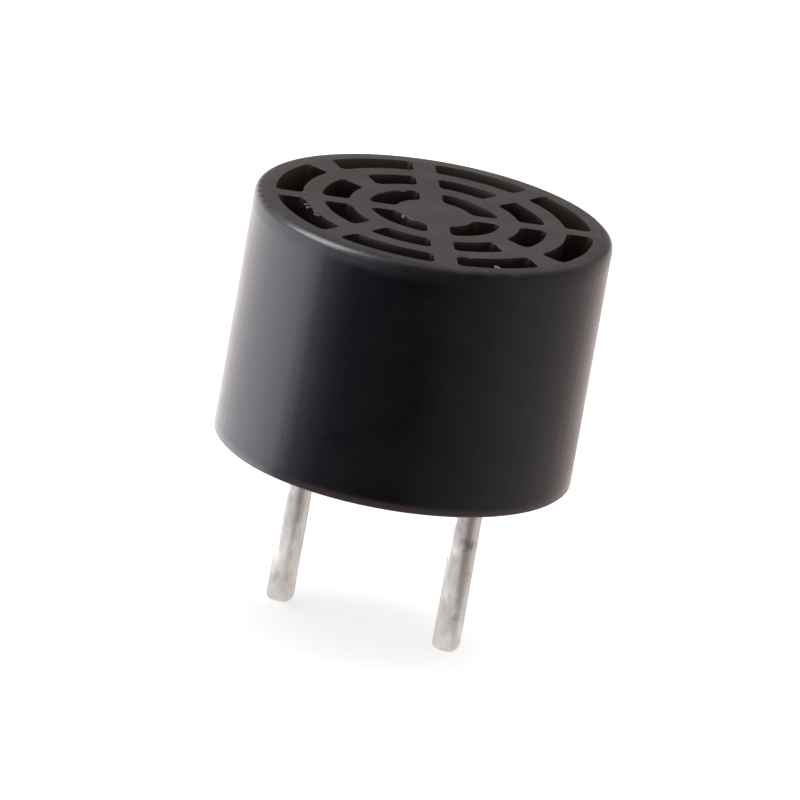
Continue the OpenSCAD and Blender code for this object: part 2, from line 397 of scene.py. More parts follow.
class EffectShelf:
    """Makes each shared effect the first time that it is asked for, and keeps it."""

    @cache
    def mould_grain(self) -> Tree:
        """Makes the fine skin of a moulded or cast surface.

        Returns:
            The group, which gives a Height, and a slow Tone from 0 to 1.
        """
        core = Core("mould grain", ("Height", "Tone"), Fineness=20.0, Flow=0.5)
        pits = core.noise(core.place, core.taken["Fineness"], 3.0, 0.6)
        coarse = core.noise(core.place, core.times(core.taken["Fineness"], 0.31), 2.0)
        clouds = core.noise(core.place, core.taken["Flow"], 3.0, 0.55, 0.6)
        return core.give(Height=core.total((pits, 0.6), (coarse, 0.4)), Tone=core.step(clouds, 0.3, 0.7))

    @cache
    def scuffs(self) -> Tree:
        """Makes short fine scratches from handling: two families of thin lines, broken up by patches.

        Returns:
            The group, which gives a Mask and a Height, both 0 on clean surface.
        """
        core = Core("scuffs", ("Mask", "Height"), Amount=0.3, Spacing=2.0)
        families = []
        for turn, stretch in (((0.7, 0.2, 0.0), (1.0, 0.16, 0.5)), ((-0.4, 0.5, 0.9), (0.13, 1.0, 0.7))):
            spun = core.node("VectorRotate", rotation_type="EULER_XYZ")
            core.feed(spun.inputs["Vector"], core.place)
            spun.inputs["Rotation"].default_value = turn
            bent = core.noise(core.scaled(spun.outputs[0], stretch), core.taken["Spacing"], 1.0, 0.4, 0.8)
            off_line = core.math("ABSOLUTE", core.math("SUBTRACT", bent, 0.5))
            families.append(core.step(off_line, 0.006, 0.0))
        patches = core.noise(core.place, 0.9, 2.0)
        kept = core.step(core.total((patches, 1.0), (core.taken["Amount"], 0.35)), 0.62, 0.78)
        mask = core.times(core.math("MAXIMUM", *families), kept)
        return core.give(Mask=mask, Height=core.times(mask, -1.0))

    @cache
    def blotches(self) -> Tree:
        """Makes ragged stains: clouds with broken borders.

        Returns:
            The group, which gives a Mask from 0 to 1 that covers more as Cover rises.
        """
        core = Core("blotches", ("Mask",), Size=2.0, Cover=0.5, Blur=0.2)
        clouds = core.noise(core.place, core.taken["Size"], 4.0, 0.62, 0.4)
        border = core.noise(core.place, core.times(core.taken["Size"], 4.3), 2.0)
        level = core.total((clouds, 1.0), (border, 0.22), (core.taken["Cover"], 0.4), (1.0, -0.8))
        ramp = core.math("ADD", core.math("DIVIDE", level, core.taken["Blur"]), 0.5)
        return core.give(Mask=core.step(ramp, 0.0, 1.0))

    @cache
    def radius(self) -> Tree:
        """Makes the level length of the position.

        Returns:
            The group, which gives the Radius from the part's axis, in the position's own unit.
        """
        core = Core("radius", ("Radius",))
        flat = core.node("VectorMath", operation="LENGTH")
        core.feed(flat.inputs[0], core.scaled(core.place, (1.0, 1.0, 0.0)))
        return core.give(Radius=flat.outputs["Value"])

    @cache
    def turned_rings(self) -> Tree:
        """Makes the fine, slightly wobbly rings round the Z axis that spinning or turning leaves.

        Returns:
            The group, which gives a Height and a Tone.
        """
        core = Core("turned rings", ("Height", "Tone"), Pitch=12.0)
        radius = core.effect(self.radius(), Position=core.place)["Radius"]
        wobble = core.noise(core.place, 0.8, 1.0)
        along = core.joined(core.total((radius, 1.0), (wobble, 0.05)), 0.0, 0.0)
        return core.give(
            Height=core.noise(along, core.taken["Pitch"], 3.0, 0.7), Tone=core.noise(core.place, 1.3, 3.0)
        )

    @cache
    def edge_rub(self) -> Tree:
        """Marks where an edge is rubbed, by comparing a rounded normal with the true one.

        Returns:
            The group, which gives a Mask that is 1 on sharp outer edges and breaks up along them.
        """
        core = Core("edge rub", ("Mask",), Width=0.03 * MM)
        rounded = core.node("Bevel", samples=4)
        core.feed(rounded.inputs["Radius"], core.taken["Width"])
        same = core.node("VectorMath", operation="DOT_PRODUCT")
        core.feed(same.inputs[0], rounded.outputs[0])
        core.feed(same.inputs[1], core.normal())
        edge = core.step(same.outputs["Value"], 0.995, 0.86)
        broken = core.step(core.noise(core.place, 3.0, 3.0, 0.6), 0.32, 0.62)
        return core.give(Mask=core.times(edge, broken))

    @cache
    def dust(self) -> Tree:
        """Makes sparse specks of uneven size and a film, where the face looks up.

        Returns:
            The group, which gives a Mask.
        """
        core = Core("dust", ("Mask",), Spacing=3.0, Amount=0.5)
        grid = core.cells(core.place, core.taken["Spacing"])
        dot = core.step(grid.outputs["Distance"], 0.13, 0.05)
        tint = core.node("SeparateColor")
        core.feed(tint.inputs[0], grid.outputs["Color"])
        chosen = core.step(tint.outputs[0], 0.72, 0.78)
        lying = core.step(core.parts(core.normal())[2], 0.2, 0.9)
        film = core.step(core.noise(core.place, 1.1, 4.0, 0.6), 0.38, 0.85)
        mask = core.math("MAXIMUM", core.times(dot, chosen), core.times(film, 0.25))
        return core.give(Mask=core.times(mask, core.times(lying, core.taken["Amount"])))


# ---- Finishes ----


class Slot(Enum):
    """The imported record's material slots."""

    CASE = "case_plastic"
    BASE = "base_plastic"
    RESIN = "epoxy"
    PIN = "tinned_pin"
    RUBBER = "silicone"
    PLATE = "plate_metal"
    GLUE = "adhesive"
    CERAMIC = "ceramic_disc"
    CONE = "cone_aluminium"
    WIRE = "copper_wire"
    SOLDER = "solder"


@dataclass(frozen=True)
class Paint:
    """A material while its finish is wired; the place is in millimetres on the part."""

    graph: Graph
    shader: Node
    place: Socket
    shelf: EffectShelf

    def feed(self, **inputs: Feed) -> None:
        """Feeds the Principled shader's inputs by name, with _ for each space."""
        for name, value in inputs.items():
            self.graph.feed(self.shader.inputs[name.replace("_", " ")], value)

    def effect(self, group: Tree, **inputs: Feed) -> Socket:
        """Places a shared effect, read at the place on the part if the inputs give no other."""
        return self.graph.effect(group, **{"Position": self.place, **inputs})

    def grain(self, fineness: float, flow: float) -> Socket:
        """Places the fine skin of a moulded or cast surface."""
        return self.effect(self.shelf.mould_grain(), Fineness=fineness, Flow=flow)


@dataclass(frozen=True)
class Finish:
    """What every finish has: its material's name and its plain, even values."""

    name: str
    ior: float = 1.5

    def material(self, shelf: EffectShelf) -> bpy.types.Material:
        """Makes the material.

        Args:
            shelf: Where the shared effects are kept.

        Returns:
            The new material.
        """
        made = bpy.data.materials.new(self.name)
        made.use_nodes = True
        made.node_tree.nodes.clear()
        graph = Graph(made.node_tree)
        shader = graph.node("BsdfPrincipled")
        graph.feed(graph.node("OutputMaterial").inputs["Surface"], shader.outputs[0])
        shader.inputs["IOR"].default_value = self.ior
        place = graph.scaled(graph.node("TexCoord").outputs["Object"], (1 / MM, 1 / MM, 1 / MM))
        self.wire(Paint(graph, shader, place, shelf))
        return made

    def wire(self, paint: Paint) -> None:
        """Wires the shader; each finish has its own way."""
        raise NotImplementedError


@dataclass(frozen=True)
class MouldedPlastic(Finish):
    """Black thermoplastic out of a mould: satin sides with draw marks, and an eroded, flatter face. The slots'
    walls take a lighter, warmer colour, lighter still on the outermost wall: painted light in the slots.
    """

    dark: Colour = (0.0032, 0.0030, 0.0034)
    light: Colour = (0.0060, 0.0052, 0.0052)
    rubbed: Colour = (0.050, 0.047, 0.048)
    dust: Colour = (0.30, 0.28, 0.27)
    face: Colour = (0.0100, 0.0045, 0.0022)
    # Painted light: the slot walls take a lighter, warmer colour in place of the light that falls into the
    # slots, lighter still on the outermost wall.
    inner_wall_tone_and_painted_light: Colour = (0.0110, 0.0070, 0.0056)
    outer_wall_tone_and_painted_light: Colour = (0.031, 0.019, 0.015)
    outer_light_from_mm: float = 4.1
    outer_light_full_mm: float = 4.35
    side_roughness: float = 0.25
    face_roughness: float = 0.46
    inner_roughness: float = 0.28
    inner_radius_mm: float = 4.7
    scuff_amount: float = 0.10
    rub_amount: float = 0.02
    dust_amount: float = 0.5
    rim_radius_mm: float = 4.35
    rim_width_mm: float = 0.6
    rim_fall_mm: float = 0.045
    shoulder_mm: float = 6.55
    top_mm: float = 7.1
    foot_mm: float = 0.32
    crown_mm: float = 0.080
    round_from_mm: float = 4.8
    round_full_mm: float = 4.82
    round_start_mm: float = 6.9
    seat_clear_mm: float = 0.5
    least_mm: float = 0.0002

    def _round_normal(self, paint: Paint, radius: Socket) -> Socket:
        """Works out the exact normal of the outer wall and of its rounded top edge.

        Args:
            paint: The material being wired.
            radius: The radius from the axis, in millimetres.

        Returns:
            The normal's socket: the mesh's own one on every other face.
        """
        graph = paint.graph
        x, y, height = graph.parts(paint.place)
        out = graph.past(radius, self.round_from_mm)
        share = graph.math("DIVIDE", out, graph.math("MAXIMUM", radius, 1.0))
        up = graph.past(height, self.round_start_mm, self.least_mm)
        turned = graph.node("VectorTransform", vector_type="NORMAL", convert_to="WORLD")
        turned.convert_from = "OBJECT"
        graph.feed(turned.inputs[0], graph.joined(graph.times(x, share), graph.times(y, share), up))
        wall = graph.step(radius, self.round_from_mm, self.round_full_mm)
        wall = graph.times(wall, graph.step(height, self.foot_mm, self.seat_clear_mm))
        mixed = graph.node("VectorMath", operation="NORMALIZE")
        graph.feed(mixed.inputs[0], graph.tint(wall, graph.normal(), turned.outputs[0]))
        return mixed.outputs[0]

    def _crown(self, paint: Paint, radius: Socket, inner: Socket) -> Socket:
        """Leans the wall in at its top and foot, and lets the face's rim fall.

        Args:
            paint: The material being wired.
            radius: The radius from the axis, in millimetres.
            inner: 1 inside the wall.

        Returns:
            The leaning normal's socket.
        """
        graph = paint.graph
        share = graph.math("DIVIDE", graph.past(radius, self.rim_radius_mm), self.rim_width_mm)
        height = graph.parts(paint.place)[2]
        under = graph.math("DIVIDE", graph.math("SUBTRACT", self.foot_mm, height), self.foot_mm)
        foot = graph.math("MAXIMUM", under, 0.0)
        side = graph.step(height, self.top_mm, self.shoulder_mm)
        side = graph.times(graph.rest(graph.times(foot, foot)), side)
        side = graph.times(side, graph.rest(inner))
        lean = graph.total((graph.times(share, share), -self.rim_fall_mm), (side, self.crown_mm))
        return graph.bump(lean, MM, self._round_normal(paint, radius))

    def wire(self, paint: Paint) -> None:
        """Wires the sides, the face and the slots' walls, with their marks, and the painted light on the slots'
        walls.

        Args:
            paint: The material being wired.
        """
        graph, shelf = paint.graph, paint.shelf
        grain = paint.grain(22.0, 0.45)
        drawn = graph.noise(graph.scaled(paint.place, (7.0, 7.0, 0.25)), 1.0, 2.0, 0.6)
        scuffs = paint.effect(shelf.scuffs(), Amount=self.scuff_amount, Spacing=1.7)
        rub = paint.effect(shelf.edge_rub(), Width=0.03 * MM)["Mask"]
        dust = paint.effect(shelf.dust(), Spacing=2.6, Amount=self.dust_amount)["Mask"]
        facing = graph.step(graph.parts(graph.normal())[2], 0.6, 0.95)
        radius = paint.effect(shelf.radius())["Radius"]
        inner = graph.step(radius, self.inner_radius_mm, self.inner_radius_mm - 0.1)

        # Painted light: the slots' walls are coloured lighter and warmer, most on the outermost wall, to stand
        # for the light in the slots.
        outermost = graph.step(radius, self.outer_light_from_mm, self.outer_light_full_mm)
        inner_wall_tone_and_painted_light = graph.tint(outermost, self.inner_wall_tone_and_painted_light, self.outer_wall_tone_and_painted_light)
        colour = graph.tint(grain["Tone"], self.dark, self.light)
        colour = graph.tint(graph.times(facing, 0.8), colour, self.face)
        colour = graph.tint(graph.times(inner, graph.rest(facing)), colour, inner_wall_tone_and_painted_light)
        colour = graph.tint(graph.times(scuffs["Mask"], 0.25), colour, self.rubbed)
        colour = graph.tint(graph.times(rub, self.rub_amount), colour, self.rubbed)
        paint.feed(Base_Color=graph.tint(graph.times(dust, 0.5), colour, self.dust))

        satin = graph.mix(inner, self.side_roughness, self.inner_roughness)
        satin = graph.mix(facing, satin, self.face_roughness)
        marks = ((grain["Tone"], 0.05), (drawn, 0.01), (scuffs["Mask"], 0.12), (dust, 0.2))
        paint.feed(Roughness=graph.math("MINIMUM", graph.total((satin, 1.0), *marks), 0.9))

        fine = graph.total((grain["Height"], 1.0), (drawn, 0.012), (scuffs["Height"], 0.12))
        paint.feed(Normal=graph.bump(fine, 0.0035 * MM, self._crown(paint, radius, inner)))


@dataclass(frozen=True)
class CastResin(Finish):
    """Black potting resin: glossy, with a slow ripple and a few pinhole bubbles."""

    dark: Colour = (0.006, 0.0055, 0.005)
    light: Colour = (0.016, 0.014, 0.012)
    roughness: float = 0.16

    def wire(self, paint: Paint) -> None:
        """Wires the ripple and the pinholes.

        Args:
            paint: The material being wired.
        """
        graph = paint.graph
        grain = paint.grain(3.0, 0.8)
        hole = graph.step(graph.cells(paint.place, 1.7).outputs["Distance"], 0.10, 0.05)
        paint.feed(
            Base_Color=graph.tint(grain["Tone"], self.dark, self.light),
            Roughness=graph.total((grain["Tone"], 0.12), (hole, 0.3), (1.0, self.roughness)),
            Normal=graph.bump(graph.total((grain["Height"], 1.0), (hole, -0.8)), 0.02 * MM),
        )


@dataclass(frozen=True)
class Stain:
    """A small burnt mark on the tin: where its middle is, how far it reaches and how dark it is."""

    place_mm: tuple[float, float, float]
    reach_mm: float
    strength: float


@dataclass(frozen=True)
class TinnedMetal(Finish):
    """Hot-dipped tin: warm silver-grey, drawn lengthwise, with dull patches of oxide."""

    bright: Colour = (0.88, 0.845, 0.820)
    dull: Colour = (0.69, 0.645, 0.620)
    oxide: Colour = (0.48, 0.430, 0.390)
    olive: Colour = (0.16, 0.150, 0.115)
    roughness: float = 0.19
    raggedness: float = 1.1
    stains: tuple[Stain, ...] = (
        Stain((2.78, -0.34, -1.80), 0.26, 0.75),
        Stain((2.92, -0.16, -2.62), 0.16, 0.40),
        Stain((2.80, -0.32, -4.00), 0.17, 0.35),
        Stain((-2.55, -0.36, -2.60), 0.32, 0.22),
        Stain((-2.62, -0.36, -4.30), 0.28, 0.26),
    )

    def _stains(self, paint: Paint) -> Socket:
        """Marks where flux has burnt on.

        Args:
            paint: The material being wired.

        Returns:
            The mask's socket, 1 inside a stain.
        """
        graph = paint.graph
        ragged = graph.noise(paint.place, 5.0, 2.0, 0.5)
        mask: Feed = 0.0
        for stain in self.stains:
            gap = graph.node("VectorMath", operation="DISTANCE")
            graph.feed(gap.inputs[0], paint.place)
            gap.inputs[1].default_value = stain.place_mm
            sway = self.raggedness * stain.reach_mm
            edge = graph.total((gap.outputs["Value"], 1.0), (ragged, 2 * sway), (1.0, -sway))
            spot = graph.times(graph.step(edge, stain.reach_mm, 0.0), stain.strength)
            mask = graph.math("MAXIMUM", mask, spot)
        return mask

    def wire(self, paint: Paint) -> None:
        """Wires the drawn tin, its dull patches and its stains.

        Args:
            paint: The material being wired.
        """
        graph, blotches = paint.graph, paint.shelf.blotches()
        along = graph.scaled(paint.place, (1.0, 1.0, 0.5))
        drawn = graph.noise(graph.scaled(paint.place, (15.0, 15.0, 0.6)), 1.0, 3.0, 0.6)
        dents = graph.noise(paint.place, 2.4, 2.0, 0.5)
        dull = paint.effect(blotches, Position=along, Size=1.5, Cover=0.55, Blur=0.45)["Mask"]
        oxide = paint.effect(blotches, Position=along, Size=3.2, Cover=0.36, Blur=0.40)["Mask"]
        olive = self._stains(paint)
        colour = graph.tint(graph.times(dull, 0.8), self.bright, self.dull)
        colour = graph.tint(graph.times(oxide, 0.42), colour, self.oxide)
        rough = ((dull, 0.1), (oxide, 0.14), (olive, 0.2), (drawn, 0.06))
        height = graph.total((drawn, 0.25), (dents, 1.0), (oxide, 0.15))
        paint.feed(
            Base_Color=graph.tint(olive, colour, self.olive),
            Metallic=graph.total((1.0, 1.0), (oxide, -0.15), (olive, -0.25)),
            Roughness=graph.total((1.0, self.roughness), *rough),
            Normal=graph.bump(height, 0.0065 * MM),
        )


@dataclass(frozen=True)
class SpunMetal(Finish):
    """Sheet metal with turning rings round the axis, and a few dull clouds."""

    bright: Colour = (0.78, 0.785, 0.79)
    dull: Colour = (0.50, 0.50, 0.51)
    ring_pitch: float = 13.0
    roughness: float = 0.24
    depth_mm: float = 0.006

    def wire(self, paint: Paint) -> None:
        """Wires the rings, the scuffs and the clouds.

        Args:
            paint: The material being wired.
        """
        graph = paint.graph
        rings = paint.effect(paint.shelf.turned_rings(), Pitch=self.ring_pitch)
        scuffs = paint.effect(paint.shelf.scuffs(), Amount=0.5, Spacing=2.4)
        clouds = graph.step(rings["Tone"], 0.38, 0.68)
        rough = ((clouds, 0.16), (rings["Height"], 0.1), (scuffs["Mask"], 0.2))
        height = graph.total((rings["Height"], 1.0), (scuffs["Height"], 0.3))
        paint.feed(
            Metallic=1.0,
            Base_Color=graph.tint(scuffs["Mask"], graph.tint(clouds, self.bright, self.dull), self.dull),
            Roughness=graph.total((1.0, self.roughness), *rough),
            Normal=graph.bump(height, self.depth_mm * MM),
        )


@dataclass(frozen=True)
class FiredSilver(Finish):
    """Ceramic under a fired silver skin: matt silver with tan ceramic where the skin stops."""

    silver: Colour = (0.62, 0.61, 0.58)
    tarnish: Colour = (0.40, 0.36, 0.29)
    ceramic: Colour = (0.46, 0.38, 0.26)

    def wire(self, paint: Paint) -> None:
        """Wires the skin on the flat faces and the bare ceramic on the edge.

        Args:
            paint: The material being wired.
        """
        graph = paint.graph
        skin = graph.step(graph.math("ABSOLUTE", graph.parts(graph.normal())[2]), 0.4, 0.8)
        grain = paint.grain(14.0, 1.2)
        stain = paint.effect(paint.shelf.blotches(), Size=1.1, Cover=0.4)["Mask"]
        metal = graph.tint(graph.times(stain, 0.7), self.silver, self.tarnish)
        paint.feed(
            Base_Color=graph.tint(skin, self.ceramic, metal),
            Metallic=graph.times(skin, 0.9),
            Roughness=graph.total((1.0, 0.45), (grain["Tone"], 0.15)),
            Normal=graph.bump(grain["Height"], 0.006 * MM),
        )


@dataclass(frozen=True)
class Grained(Finish):
    """Anything with two cloudy tones and an even grain: rubber, glue, wire or solder."""

    pale: Colour = (0.70, 0.70, 0.69)
    deep: Colour = (0.48, 0.48, 0.47)
    metallic: float = 0.0
    roughness: float = 0.22
    tone_roughness: float = 0.2
    fineness: float = 9.0
    flow: float = 2.2
    depth_mm: float = 0.012

    def wire(self, paint: Paint) -> None:
        """Wires the clouds and the grain.

        Args:
            paint: The material being wired.
        """
        grain = paint.grain(self.fineness, self.flow)
        paint.feed(
            Metallic=self.metallic,
            Base_Color=paint.graph.tint(grain["Tone"], self.pale, self.deep),
            Roughness=paint.graph.total((1.0, self.roughness), (grain["Tone"], self.tone_roughness)),
            Normal=paint.graph.bump(grain["Height"], self.depth_mm * MM),
        )


FINISHES: dict[Slot, Finish] = {
    Slot.CASE: MouldedPlastic("case plastic", dark=(0.0024, 0.0024, 0.0042), light=(0.0042, 0.0039, 0.0056)),
    # The base keeps the default inner-wall colours, so its faces inside the wall that don't face up get the
    # same painted light.
    Slot.BASE: MouldedPlastic(
        "base plastic",
        dark=(0.007, 0.007, 0.0075),
        light=(0.013, 0.013, 0.014),
        side_roughness=0.36,
        face_roughness=0.42,
        dust_amount=0.2,
    ),
    Slot.RESIN: CastResin("potting resin", ior=1.55),
    Slot.PIN: TinnedMetal("tinned pin"),
    Slot.RUBBER: Grained(
        "silicone rubber",
        ior=1.41,
        pale=(0.56, 0.56, 0.54),
        deep=(0.42, 0.42, 0.40),
        roughness=0.5,
        tone_roughness=0.15,
        fineness=4.0,
        flow=1.2,
        depth_mm=0.02,
    ),
    Slot.PLATE: SpunMetal("plate metal", bright=(0.80, 0.66, 0.40), dull=(0.56, 0.43, 0.24), ring_pitch=9.0),
    Slot.GLUE: Grained(
        "adhesive",
        ior=1.52,
        pale=(0.50, 0.36, 0.15),
        deep=(0.34, 0.21, 0.07),
        roughness=0.18,
        tone_roughness=0.1,
        fineness=5.0,
        flow=1.6,
    ),
    Slot.CERAMIC: FiredSilver("silvered ceramic"),
    Slot.CONE: SpunMetal("cone aluminium"),
    Slot.WIRE: Grained(
        "copper wire", pale=(0.80, 0.42, 0.24), deep=(0.56, 0.25, 0.13), metallic=1.0, fineness=14.0
    ),
    Slot.SOLDER: Grained("solder", metallic=1.0),
}


class Wardrobe:
    """Keeps one material for each slot, and puts it on CAD nodes and new pieces."""

    def __init__(self, finishes: dict[Slot, Finish], shelf: EffectShelf) -> None:
        """Makes every material once.

        Args:
            finishes: The finish of each slot.
            shelf: Where the shared effects are kept.
        """
        self._shelf = shelf
        self._materials = {slot: finish.material(shelf) for slot, finish in finishes.items()}

    def dress(self, node: Piece, slot: Slot) -> None:
        """Gives a CAD node its finish, in place of the plain one that it came with."""
        node.material_slots[0].material = self._materials[slot]

    def fit(self, piece: Piece, slot: Slot, finish: Optional[Finish] = None) -> Piece:
        """Finishes a new piece and lets it ride on the part.

        Args:
            piece: The new piece, already in place.
            slot: The slot that it takes its finish from.
            finish: A finish of its own, where it differs from the slot's.

        Returns:
            The same piece.
        """
        piece.data.materials.append(finish.material(self._shelf) if finish else self._materials[slot])
        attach(piece, ROOT)
        return piece


# ---- Meshes ----


def soften(node: Piece, width: float, segments: int = 2, sharpest: float = 62.0) -> None:
    """Rounds a CAD node's sharp edges for the eye, with modifiers only.

    Args:
        node: The CAD node, whose own mesh stays as it is.
        width: How far the rounding reaches from each edge.
        segments: Facets across the rounding.
        sharpest: Only edges that turn by more than this angle are rounded.
    """
    weld = node.modifiers.new("weld", "WELD")
    weld.merge_threshold = 0.0002 * MM
    bevel = node.modifiers.new("edge rounding", "BEVEL")
    bevel.width = width
    bevel.segments = segments
    bevel.limit_method = "ANGLE"
    bevel.angle_limit = math.radians(sharpest)
    bevel.use_clamp_overlap = True
    even = node.modifiers.new("even shading", "WEIGHTED_NORMAL")
    even.keep_sharp = True


def piece_from(name: str, shape: Shape) -> Piece:
    """Turns a finished bmesh into a smooth-shaded object in the scene.

    Args:
        name: The new piece's name.
        shape: The shape, which is freed.

    Returns:
        The new object.
    """
    bmesh.ops.recalc_face_normals(shape, faces=shape.faces[:])
    mesh = bpy.data.meshes.new(name)
    shape.to_mesh(mesh)
    shape.free()
    mesh.shade_smooth()
    made = bpy.data.objects.new(name, mesh)
    bpy.context.scene.collection.objects.link(made)
    return made


def add_lump(shape: Shape, place: Matrix, size: Vector, seed: int, unevenness: float = 0.35) -> None:
    """Adds a small uneven lump to a shape.

    Args:
        shape: The shape to add to.
        place: Where the lump goes, and how it is turned.
        size: Its full length along each of its own axes.
        seed: Picks its unevenness.
        unevenness: How far its surface wanders, as a share of its size.
    """
    made = bmesh.ops.create_icosphere(shape, subdivisions=3, radius=0.5)
    for vert in made["verts"]:
        wander = noise.noise(vert.co * 2.6 + Vector((seed * 7.1, seed * 3.7, 0.0)))
        swollen = vert.co * (1.0 + unevenness * wander)
        vert.co = place @ Vector(a * b for a, b in zip(swollen, size))


def add_rings(shape: Shape, rings: list[list[Vector]]) -> None:
    """Joins closed rings of equal count into a skin, and closes both of its ends.

    Args:
        shape: The shape to add to.
        rings: The rings in order, each a list of points.
    """
    rows = [[shape.verts.new(point) for point in ring] for ring in rings]
    count = len(rows[0])
    for row, after in zip(rows, rows[1:]):
        for i in range(count):
            shape.faces.new((row[i], row[(i + 1) % count], after[(i + 1) % count], after[i]))
    shape.faces.new(rows[0])
    shape.faces.new(reversed(rows[-1]))


def round_ring(centre: Vector, radius: float, height: float, count: int = 48) -> list[Vector]:
    """Gives a level circle of points.

    Args:
        centre: The middle, whose own height doesn't matter.
        radius: The circle's radius.
        height: Its height.
        count: How many points it has.

    Returns:
        The points.
    """
    steps = (math.tau * i / count for i in range(count))
    return [Vector((centre.x + radius * math.cos(a), centre.y + radius * math.sin(a), height)) for a in steps]


# ---- Sub-assemblies ----


@dataclass(frozen=True)
class Burr:
    """A scrap of moulding flash in a slot: its bearing and radius on the face, and its size."""

    turn: float
    radius_mm: float
    across_mm: float
    along_mm: float
    thick_mm: float = 0.10
    drop_mm: float = 0.05
    bits: int = 0


@dataclass
class Housing:
    """The moulded case with its slotted face, and the flash left in its slots."""

    edge_softness: float = 0.025 * MM
    edge_radii_mm: tuple[float, ...] = (1.08, 1.837, 2.377, 3.133, 3.673, 4.43)
    crumbs: int = 12
    crumb_mm: tuple[float, float] = (0.025, 0.045)
    crumb_stretch: tuple[float, float] = (2.0, 6.0)
    crumb_drop_mm: float = 0.006
    bit_mm: tuple[float, float] = (0.03, 0.07)
    bit_stretch: tuple[float, float] = (0.8, 1.6)
    bit_drop_mm: tuple[float, float] = (0.0, 0.02)
    bit_flatness: float = 0.8
    bit_turn_spread: float = 2.6
    bit_radius_spread_mm: float = 0.035
    below_face: float = 0.001 * MM
    torn: Finish = MouldedPlastic(
        "torn plastic",
        dark=(0.040, 0.039, 0.040),
        light=(0.110, 0.106, 0.104),
        face=(0.110, 0.106, 0.104),
        # On the flash these two colours are its own pale plastic, not painted light.
        inner_wall_tone_and_painted_light=(0.080, 0.077, 0.075),
        outer_wall_tone_and_painted_light=(0.080, 0.077, 0.075),
        side_roughness=0.6,
        face_roughness=0.6,
        inner_roughness=0.6,
    )
    burrs: tuple[Burr, ...] = (
        Burr(-41.7, 4.21, 0.44, 0.15, 0.12),
        Burr(-138.9, 3.70, 0.10, 0.20, 0.05, bits=9),
        Burr(-130.2, 3.69, 0.08, 0.16, 0.05, bits=7),
        Burr(-118.7, 1.10, 0.08, 0.14, 0.05, bits=3),
        Burr(153.6, 2.80, 0.60, 0.17, 0.14),
    )

    def _scrap(self, shape: Shape, burr: Burr, top: float, seed: int) -> None:
        """Adds one scrap of flash, level with the face or just under it.

        Args:
            shape: The shape to add to.
            burr: The scrap's place and size.
            top: The face's height.
            seed: Picks its unevenness.
        """
        turn = Matrix.Rotation(math.radians(burr.turn), 4, "Z")
        low = top - (burr.drop_mm + burr.thick_mm / 2) * MM
        place = turn @ Matrix.Translation((burr.radius_mm * MM, 0.0, low))
        add_lump(shape, place, Vector((burr.across_mm, burr.along_mm, burr.thick_mm)) * MM, seed)

    def _flash(self, top: float) -> Piece:
        """Makes the scraps of flash that hang in the slots.

        Args:
            top: The face's height.

        Returns:
            The new piece.
        """
        shape = bmesh.new()
        for seed, burr in enumerate(self.burrs):
            self._scrap(shape, burr, top, seed)
        pick = random.Random(5)
        for seed in range(self.crumbs):
            radius = pick.choice(self.edge_radii_mm)
            size = pick.uniform(*self.crumb_mm)
            turn = pick.uniform(-180.0, 180.0)
            length = size * pick.uniform(*self.crumb_stretch)
            crumb = Burr(turn, radius, size, length, size, self.crumb_drop_mm)
            self._scrap(shape, crumb, top, seed + len(self.burrs))
        for burr in self.burrs:
            for seed in range(burr.bits):
                turn = burr.turn + pick.gauss(0.0, self.bit_turn_spread)
                radius = burr.radius_mm + pick.gauss(0.0, self.bit_radius_spread_mm)
                size = pick.uniform(*self.bit_mm)
                length = size * pick.uniform(*self.bit_stretch)
                drop = pick.uniform(*self.bit_drop_mm)
                bit = Burr(turn, radius, size, length, size * self.bit_flatness, drop)
                self._scrap(shape, bit, top, seed)
        for vert in shape.verts:
            vert.co.z = min(vert.co.z, top - self.below_face)
        return piece_from("slot_flash", shape)

    def build(self, wardrobe: Wardrobe) -> None:
        """Dresses the case and adds the flash.

        Args:
            wardrobe: The materials.
        """
        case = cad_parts["case"]
        wardrobe.dress(case, Slot.CASE)
        soften(case, self.edge_softness)
        wardrobe.fit(self._flash(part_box("case")[1].z), Slot.CASE, self.torn)
        log.info("case dressed, slot flash added")


@dataclass
class TinCoat:
    """The tin that a pin was dipped in: crowned faces, soft edges, and a rounded tip."""

    face_reach: float = 0.350 * MM
    squareness: float = 3.5
    points: int = 64
    ring_step: float = 0.07 * MM
    wander: float = 0.007 * MM
    wander_radius_mm: float = 0.3
    tip: Profile = ((0.20, 1.0), (0.13, 0.985), (0.08, 0.94), (0.04, 0.86), (0.015, 0.77))

    def _ring(self, centre: Vector, height: float, share: float) -> list[Vector]:
        """Makes one cut through the coat.

        Args:
            centre: The pin's axis.
            height: The cut's height.
            share: Its size as a share of the full size.

        Returns:
            The cut's points.
        """
        ring = []
        power = self.squareness
        for i in range(self.points):
            turn = math.tau * i / self.points
            c, s = math.cos(turn), math.sin(turn)
            reach = self.face_reach / (abs(c) ** power + abs(s) ** power) ** (1 / power)
            wide = self.wander_radius_mm * MM
            spot = Vector((centre.x + wide * c, wide * s, height)) / MM
            reach += self.wander * (noise.noise(spot * 1.1) + 0.5 * noise.noise(spot * 2.7))
            ring.append(Vector((centre.x + reach * share * c, centre.y + reach * share * s, height)))
        return ring

    def build(self, pin: Piece, start: float) -> Piece:
        """Makes the coat on one pin.

        Args:
            pin: The pin.
            start: The height where the coat comes out of the base.

        Returns:
            The new piece.
        """
        low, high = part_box(pin.name)
        centre = (low + high) / 2
        straight = low.z + self.tip[0][0] * MM
        count = round((start - straight) / self.ring_step)
        heights = [start + (straight - start) * i / count for i in range(count)]
        rings = [self._ring(centre, height, 1.0) for height in heights]
        rings += [self._ring(centre, low.z + rise * MM, share) for rise, share in self.tip]
        shape = bmesh.new()
        add_rings(shape, rings)
        return piece_from("tin_" + pin.name, shape)


